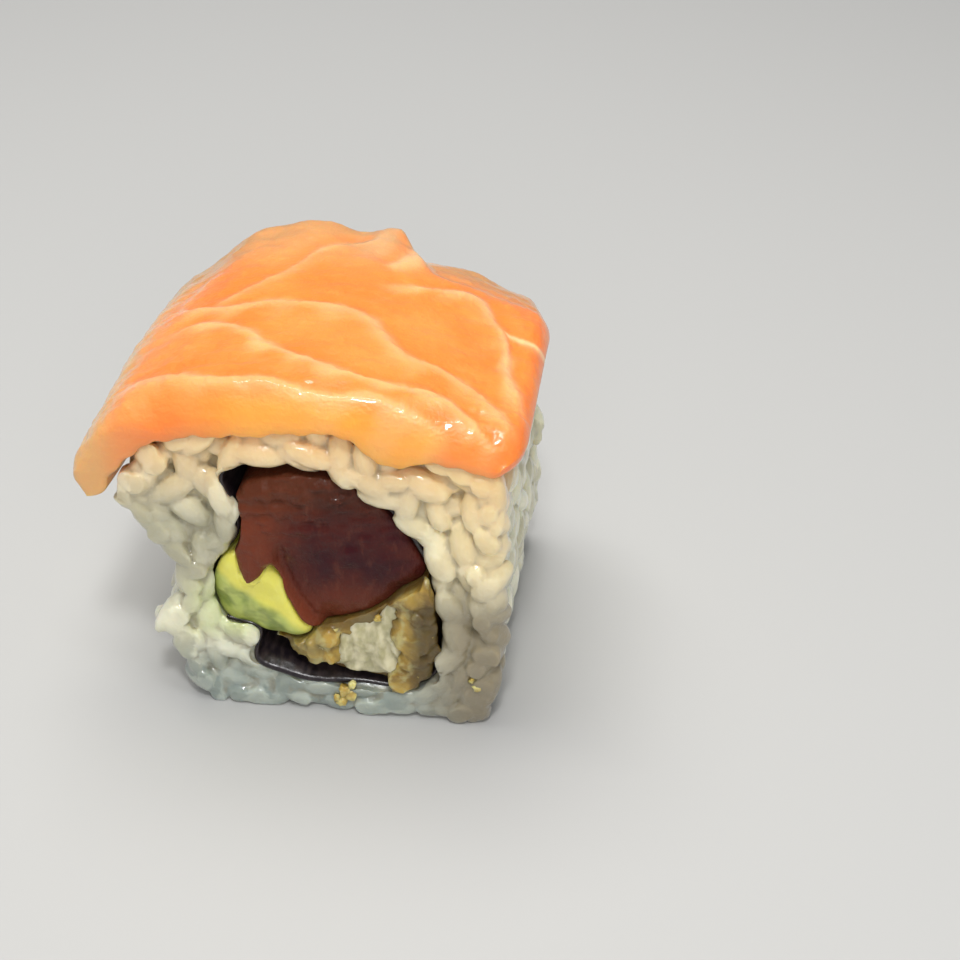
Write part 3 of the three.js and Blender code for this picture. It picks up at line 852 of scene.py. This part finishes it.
def batter_spots(rng, count, flesh_cover):
    """Places in the batter at the front and back, clear of the fish and the avocado."""
    spots = []
    while len(spots) < count:
        x, z = rng.uniform(-5, 14), rng.uniform(4, 21)
        where = np.array([[x, z]])
        enough = 0.2 if x > 2 else 0.8
        in_batter = batter_outline.depth(where)[0] > enough and filling_room.depth(where)[0] > 1.2
        clear = tuna_outline.depth(where)[0] < -0.4 and avocado_outline.depth(where)[0] < -0.4
        if in_batter and clear and prawn_outline.depth(where)[0] < flesh_cover:
            spots.append((x, z, -1 if len(spots) % 2 else 1))
    return spots


def batter():
    rng = np.random.default_rng(21)
    bm = bar_from(batter_outline.points[::4], HALF_LENGTH - 2.0)
    shapes = [crumb_shape(rng, 2, 0.4) for _ in range(6)]
    frames = [
        crumb_frame(rng, x, end * (HALF_LENGTH - rng.uniform(1.0, 2.7)), z, rng.uniform(0.7, 1.7))
        for x, z, end in batter_spots(rng, 260, -0.2)
    ]
    lay_crumbs(bm, shapes, frames)
    mesh = fused_mesh(bm, "batter", 0.22, 3)
    places = places_of(mesh)
    clear_of_others(places)
    places[:, 1] = np.clip(places[:, 1], 0.1 - HALF_LENGTH, HALF_LENGTH - 0.1)
    put_places(mesh, places)
    raised = np.abs(places[:, 1]) - (HALF_LENGTH - 2.6)
    paint(mesh, "raised", np.clip(raised / 2.4, 0, 1))
    return mesh


flesh_finish, shader, wire, place = new_finish("cooked_prawn")
flaky = noise(wire, place, 1.3, 3.0, stretch=(1, 1, 0.5))
body = wire.mix(flaky.between(0.35, 0.65), (0.42, 0.39, 0.22), (0.66, 0.61, 0.41))
wire.plug(shader.inputs["Base Color"], body)
fleshy(shader, 0.7, (1.0, 0.9, 0.7), 0.0016, 0.42, coat=0.3)
bump(wire, shader, flaky, 0.12)
flesh_piece = serve(prawn_flesh(), "prawn_flesh", flesh_finish)
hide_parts("prawn")

batter_finish, shader, wire, place = new_finish("fried_batter")
toasted = noise(wire, place, 2.4, 3.0)
raised = wire.painted("raised")
pale = noise(wire, place, 1.5, 3.0)
body = wire.mix(toasted.between(0.35, 0.65), (0.22, 0.135, 0.022), (0.50, 0.34, 0.07))
body = wire.mix(pale.between(0.48, 0.66) * 0.75, body, (0.50, 0.45, 0.20))
parts = place.parts()
# Darker towards the right, next to the nori
darker_at_right = parts["X"].between(9.8, 12.2) * (1 - parts["Z"].between(15, 19))
body = wire.mix((1 - parts["X"].between(0, 2)) * 0.5, body, (0.29, 0.25, 0.095))
body = wire.mix(darker_at_right * 0.9, body, (0.08, 0.05, 0.010))
# Painted shade: batter lying deeper than the cut face is darkened
body = wire.mix((1 - raised.between(0.25, 0.8)) * 0.8, body, (0.11, 0.065, 0.016))
wire.plug(shader.inputs["Base Color"], body)
fleshy(shader, 0.8, (1.0, 0.75, 0.35), 0.0016, 0.40, coat=0.35)
bump(wire, shader, noise(wire, place, 0.5, 4.0), 0.1)
serve(batter(), "batter", batter_finish)

# The batter ends in crisp crumbs of bread, fried golden. They stand in the batter round the
# prawn at both cuts, and a few have dropped on to the rice at the front.
CRUMB_COUNT = 44
LOOSE_CRUMBS = [(3.1, 3.2), (2.3, 2.1), (4.1, 4.2), (2.9, 1.5), (3.9, 2.7), (17.4, 6.6), (18.1, 5.7)]


def bread_crumbs():
    rng = np.random.default_rng(23)
    shapes = [crumb_shape(rng, 2, 0.9) for _ in range(8)]
    frames = [
        crumb_frame(rng, x, end * (HALF_LENGTH - rng.uniform(0.8, 1.7)), z, rng.uniform(0.25, 0.7))
        for x, z, end in batter_spots(rng, CRUMB_COUNT, 0.1)
    ]
    frames += [
        crumb_frame(rng, x, 0.4 - HALF_LENGTH, z, rng.uniform(0.4, 0.85)) for x, z in LOOSE_CRUMBS
    ]
    bm = bmesh.new()
    lay_crumbs(bm, shapes, frames)
    for vert in bm.verts:
        vert.co.y = min(max(vert.co.y, 0.02 - HALF_LENGTH), HALF_LENGTH - 0.02)
    return mesh_of(bm, "bread_crumbs")


crumb_finish, shader, wire, place = new_finish("golden_crumbs")
toasted = noise(wire, place, 1.5, 2.0)
body = wire.mix(toasted.between(0.35, 0.65), (0.44, 0.29, 0.06), (0.78, 0.64, 0.24))
wire.plug(shader.inputs["Base Color"], body)
fleshy(shader, 0.7, (1.0, 0.8, 0.4), 0.0014, 0.42, coat=0.3)
bump(wire, shader, noise(wire, place, 0.4, 3.0), 0.15)
serve(bread_crumbs(), "bread_crumbs", crumb_finish)

# The salmon is one slice of raw fillet draped over the rice while it was rolled. Its flakes
# lie over each other like tiles, with a white line of fat where each one ends.
# Each line is given from above, by its X and Y in millimetres
FAT_LINES = [
    [(-18.9, -12.7), (-16.9, -12.2), (-12.7, -13.3), (-8.5, -14.0), (-4.4, -14.4), (-0.1, -15.2),
     (4.2, -15.2), (7.8, -15.0), (11.9, -15.8), (15.9, -17.4)],
    [(-16.2, -5.0), (-13.0, -3.7), (-9.2, -4.6), (-6.8, -5.7), (-4.5, -8.1), (-1.6, -9.9),
     (3.6, -12.1), (9.2, -12.4), (14.4, -13.1), (18.2, -15.2), (20.7, -17.4)],
    [(-19.6, 2.2), (-15.6, 1.7), (-10.3, -0.7), (-3.6, 0.3), (1.5, -0.5), (4.5, -1.7),
     (6.5, -4.3), (9.0, -6.8), (14.6, -8.6), (18.8, -11.1), (20.7, -13.6), (22.0, -15.6)],
    [(3.8, 4.9), (8.6, 6.0), (13.1, 7.4), (15.1, 6.8), (16.5, 4.5), (17.6, 2.1),
     (19.1, -2.8), (20.5, -7.0), (22.4, -13.0)],
    [(16.9, 2.9), (19.9, 2.5), (22.2, 1.8), (23.0, 1.4)],
    [(-13.0, -0.2), (-10.8, 1.9), (-8.0, 4.7), (-5.2, 7.5), (-3.2, 10.4), (-0.3, 13.3),
     (1.9, 13.9), (3.4, 15.6)],
    [(3.8, 8.5), (5.4, 10.4), (6.5, 13.4), (6.0, 16.6)],
    [(-16.3, -1.0), (-15.8, 4.3), (-14.7, 8.8)],
]
FAT_STRENGTH = [0.7, 0.85, 0.75, 0.95, 1.5, 0.6, 0.8, 0.35]
FAT_WIDTH = [1.0, 0.9, 1.1, 0.9, 0.45, 0.8, 1.1, 0.7]
FLAKE_STEP = [0.45, 0.5, 0.5, 0.5, 0.1, 0.4, 0.5, 0.15]
SALMON_ACROSS = 200
SALMON_ALONG = 160
LIP_ROWS = 16
FRONT_LIP = 3.4
BACK_LIP = 2.0
FRONT_ROLL = 5.6
LEFTMOST = 24.3
RIGHTMOST = 22.68
HIGHEST = 43.12


def back_rise(x, y):
    """The top flakes swell at the back edge, with a dip between them."""
    swell = 0.9 * np.exp(-((x + 4.8) / 3.2) ** 2) + 0.5 * np.exp(-((x - 4.0) / 1.6) ** 2)
    return (swell - 0.5 * np.exp(-((x - 0.2) / 1.8) ** 2)) * smooth_step(y, 8, 16)


def salmon_relief(x, y):
    """How far flakes stand out over each place, its fat, and the painted shade in the dip behind that."""
    places = np.column_stack([x, y])
    places = places + 0.25 * np.column_stack([ripples(places, 9, 31), ripples(places, 7, 32)])
    height, fat, crease_shade = np.zeros(len(x)), np.zeros(len(x)), np.zeros(len(x))
    for corners, strength, width, step in zip(FAT_LINES, FAT_STRENGTH, FAT_WIDTH, FLAKE_STEP):
        line = Outline(corners, closed=False, count=160)
        number, right = line.nearest(places)
        beyond = -right
        share = number / (len(line.points) - 1)
        fade = np.clip(np.minimum(share, 1 - share) / 0.12, 0, 1)
        passed = 1 / (1 + np.exp(-beyond / 0.38))
        before = np.exp(-np.abs(beyond) / 4.0)
        after = np.exp(-np.abs(beyond) / 2.2)
        height += step * fade * ((1 - passed) * before - passed * after)
        thick = width * np.maximum(0.8 + 0.3 * ripples(places, 5, 33), 0.5)
        thick = np.where(beyond > -0.2, 0.6 * thick, 1.7 * thick)
        fat = np.maximum(fat, strength * fade * np.exp(-((beyond + 0.2) / thick) ** 2))
        crease_shade = np.maximum(crease_shade, step * fade * np.exp(-((beyond - 1.1) / 0.8) ** 2))
    return height, fat, 2 * crease_shade


def salmon_slice():
    bm = bmesh.new()
    bmesh.ops.create_grid(bm, x_segments=2 * SALMON_ACROSS, y_segments=SALMON_ALONG, size=0.5)
    mesh = mesh_of(bm, "salmon_slice")
    grid = places_of(mesh)
    turn = grid[:, 0] + 0.5
    row = np.rint((grid[:, 1] + 0.5) * SALMON_ALONG)
    top = turn <= 0.5 + 1e-6
    even = np.abs(1 - 2 * turn)
    # Rows are close together at the cuts, where the edge turns over
    lip = np.clip(np.minimum(row, SALMON_ALONG - row) / LIP_ROWS, 0, 1)
    inner = np.clip((row - LIP_ROWS) / (SALMON_ALONG - 2 * LIP_ROWS), 0, 1)
    y = FRONT_LIP - HALF_LENGTH + inner * (2 * HALF_LENGTH - FRONT_LIP - BACK_LIP)
    y += np.where(inner < 0.5, -FRONT_LIP, BACK_LIP) * (1 - lip ** 2)
    low_lip = np.sqrt(1 - (1 - np.clip((HALF_LENGTH - np.abs(y)) / 0.5, 0, 1)) ** 2)
    near_front = (1 - np.clip((y + HALF_LENGTH) / FRONT_ROLL, 0, 1)) ** 2
    thickness = 1 - 0.25 * near_front
    start = 0.006 + 0.006 * np.sin(0.35 * y)
    stop = 1 - 0.10 * np.maximum(0, (y - 6) / HALF_LENGTH) ** 1.5 - 0.04 * near_front ** 1.5
    share = start + (stop - start) * (0.5 - 0.5 * np.cos(math.pi * even))
    steps = np.linalg.norm(np.diff(salmon_line, axis=0), axis=1)
    run = np.concatenate([[0], np.cumsum(steps)])
    length = run[-1]
    x = np.interp(share * length, run, salmon_line[:, 0])
    z = np.interp(share * length, run, salmon_line[:, 1])
    along = np.gradient(salmon_line, axis=0)
    along /= np.linalg.norm(along, axis=1)[:, None]
    way_x = np.interp(share * length, run, along[:, 0])
    way_z = np.interp(share * length, run, along[:, 1])
    half = SALMON_THICKNESS / 2
    tip = np.clip(np.minimum(share - start, stop - share) * length / half, 0, 1)
    rounded_tip = np.sqrt(np.clip(1 - (1 - tip) ** 2, 0, 1))
    height, fat, crease_shade = salmon_relief(x, y)
    height += back_rise(x, y)
    lobe = smooth_step(-x, 14, 18)
    rolled = np.where(inner < 0.5, lobe * lip + (1 - lobe) * lip ** 2, lip)
    top_lip = np.sqrt(1 - (1 - rolled) ** 2)
    flare = 0.9 * np.where(x < 0, smooth_step(-z, -33, -30), 0) * np.exp(-(y + HALF_LENGTH) / 4)
    places = np.column_stack([x, y, z])
    height += 0.07 * ripples(places, 2.6, 35) + 0.03 * ripples(places, 1.1, 36)
    height += 0.06 * smooth_step(-y, 7, 12) * ripples(places * (0.6, 1, 1), 1.3, 37, 14)
    lower = -half - front_droop(x, y) * rounded_tip
    upper = -half + (SALMON_THICKNESS + height * rounded_tip) * (thickness + (1 - thickness) * lobe)
    middle = lower + (upper - lower) * (0.18 + 0.32 * (1 - rounded_tip))
    rounded = rounded_tip * np.where(top, top_lip, low_lip)
    reach = middle + (np.where(top, upper, lower) - middle) * rounded
    places[:, 0] -= way_z * reach
    places[:, 2] += way_x * reach
    places[:, 2] -= back_fall(places[:, 0], y)
    places[:, 0] = np.minimum(-softly_below(flare - places[:, 0], LEFTMOST, 0.3), RIGHTMOST)
    places[:, 2] = softly_below(places[:, 2], HIGHEST, 0.4)
    put_places(mesh, places)
    paint(mesh, "fat", fat * np.where(top, 1, 0.5))
    paint(mesh, "crease_shade", np.where(top, crease_shade, 0))
    # Painted light: the thin front edge is coloured brighter, as if lit from above and through its flesh
    lit_skirt = smooth_step(near_front, 0.35, 0.9) * smooth_step(x, -13, -4)
    paint(mesh, "lit_skirt", lit_skirt * (1 - smooth_step(x, 13, 15.5)))
    bm = bmesh.new()
    bm.from_mesh(mesh)
    bmesh.ops.remove_doubles(bm, verts=bm.verts[:], dist=0.002)
    bmesh.ops.recalc_face_normals(bm, faces=bm.faces[:])
    bm.to_mesh(mesh)
    bm.free()
    return mesh


salmon_finish, shader, wire, place = new_finish("raw_salmon")
fat = wire.painted("fat")
parts = place.parts()
patches = noise(wire, place, 8.0, 2.0)
streaks = noise(wire, place, 1.2, 3.0, stretch=(0.35, 1, 1))
lit_skirt = wire.painted("lit_skirt")
crease_shade = wire.painted("crease_shade")
body = wire.mix(patches.between(0.35, 0.65), (0.92, 0.225, 0.032), (0.94, 0.28, 0.052))
duller_left_and_back = (1 - parts["X"].between(-22, -10)) * 0.6 + parts["Y"].between(4, 17) * 0.5
body = wire.mix(duller_left_and_back.between(0.0, 1.0) * 0.85, body, (0.72, 0.39, 0.14))
body = wire.mix((1 - parts["X"].between(-22, -18)) * 0.7, body, (0.70, 0.43, 0.16))
# Painted shade: darker towards the back, where the key light falls strongest
body = wire.mix(parts["Y"].between(5, 15) * 0.7, body, (0.50, 0.28, 0.11))
flap = parts["X"].between(-1, 3) * (1 - parts["X"].between(7.5, 9)) * parts["Y"].between(8, 12)
body = wire.mix(flap * 0.6, body, (0.60, 0.36, 0.17))
body = wire.mix(streaks.between(0.5, 0.8) * 0.2, body, (0.97, 0.44, 0.13))
# Painted shade in the dip behind each fat line
body = wire.mix(crease_shade * 0.5, body, (0.88, 0.22, 0.022))
# Painted light on the thin front edge
body = wire.mix(lit_skirt * 0.85, body, (1.0, 0.42, 0.055))
body = wire.mix(fat * 0.7, body, (1.0, 0.56, 0.26))
wire.plug(shader.inputs["Base Color"], body)
fleshy(shader, 0.6, (1.0, 0.42, 0.16), 0.0028, 0.42, coat=0.7, coat_roughness=0.07)
moist = noise(wire, place, 1.0, 3.0, stretch=(0.6, 1, 1)) + noise(wire, place, 0.4, 1.0) * 0.35
bump(wire, shader, moist, 0.16)
salmon_piece = serve(salmon_slice(), "salmon_slice", salmon_finish)
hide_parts("salmon")

# A plain pale floor, a soft light over it, and the camera
floor_bm = bmesh.new()
bmesh.ops.create_grid(floor_bm, x_segments=2, y_segments=2, size=1.5)
floor_mesh = mesh_of(floor_bm, "floor")
floor = bpy.data.objects.new("floor", floor_mesh)
bpy.context.collection.objects.link(floor)
floor_finish, shader, wire, place = new_finish("pale_floor")
shader.inputs["Base Color"].default_value = (0.46, 0.46, 0.45, 1)
shader.inputs["Roughness"].default_value = 0.7
floor_mesh.materials.append(floor_finish)


def soft_light(name, place, target, size, power, colour=(1, 1, 1)):
    lamp = bpy.data.lights.new(name, "AREA")
    lamp.shape = "RECTANGLE"
    lamp.size, lamp.size_y = size
    lamp.energy = power
    lamp.color = colour
    holder = bpy.data.objects.new(name, lamp)
    holder.location = place
    holder.rotation_euler = (Vector(target) - Vector(place)).to_track_quat("-Z", "Y").to_euler()
    bpy.context.collection.objects.link(holder)
    return holder


key = soft_light("key", (-0.06, 0.10, 0.44), (0, 0, 0.03), (0.3, 0.3), 1.45, (1.0, 0.97, 0.92))
key.visible_glossy = False
fill = soft_light("fill", (0.10, -0.38, 0.24), (0, 0, 0.02), (0.3, 0.3), 0.8, (1.0, 0.98, 0.94))
fill.visible_glossy = False
soft_light("strip", (-0.03, -0.05, 0.52), (0, 0, 0.03), (0.4, 0.03), 0.6)
soft_light("spark", (0.05, -0.22, 0.46), (0, 0, 0.03), (0.06, 0.06), 0.95)

world = bpy.data.worlds.new("studio")
world.use_nodes = True
world.node_tree.nodes["Background"].inputs["Color"].default_value = (0.9, 0.93, 1.0, 1)
world.node_tree.nodes["Background"].inputs["Strength"].default_value = 0.28
bpy.context.scene.world = world
bpy.context.scene.view_settings.view_transform = "Standard"

CAMERA_PLACE = Vector((0.039004, -0.158372, 0.141442))
CAMERA_ELEVATION = math.radians(37)
CAMERA_AZIMUTH = math.radians(8)
lens = bpy.data.cameras.new("camera")
lens.sensor_width = 36
lens.lens = 67.5
lens.clip_start = 0.01
camera = bpy.data.objects.new("camera", lens)
camera.location = CAMERA_PLACE
camera.rotation_euler = (math.pi / 2 - CAMERA_ELEVATION, 0, CAMERA_AZIMUTH)
bpy.context.collection.objects.link(camera)
bpy.context.scene.camera = camera
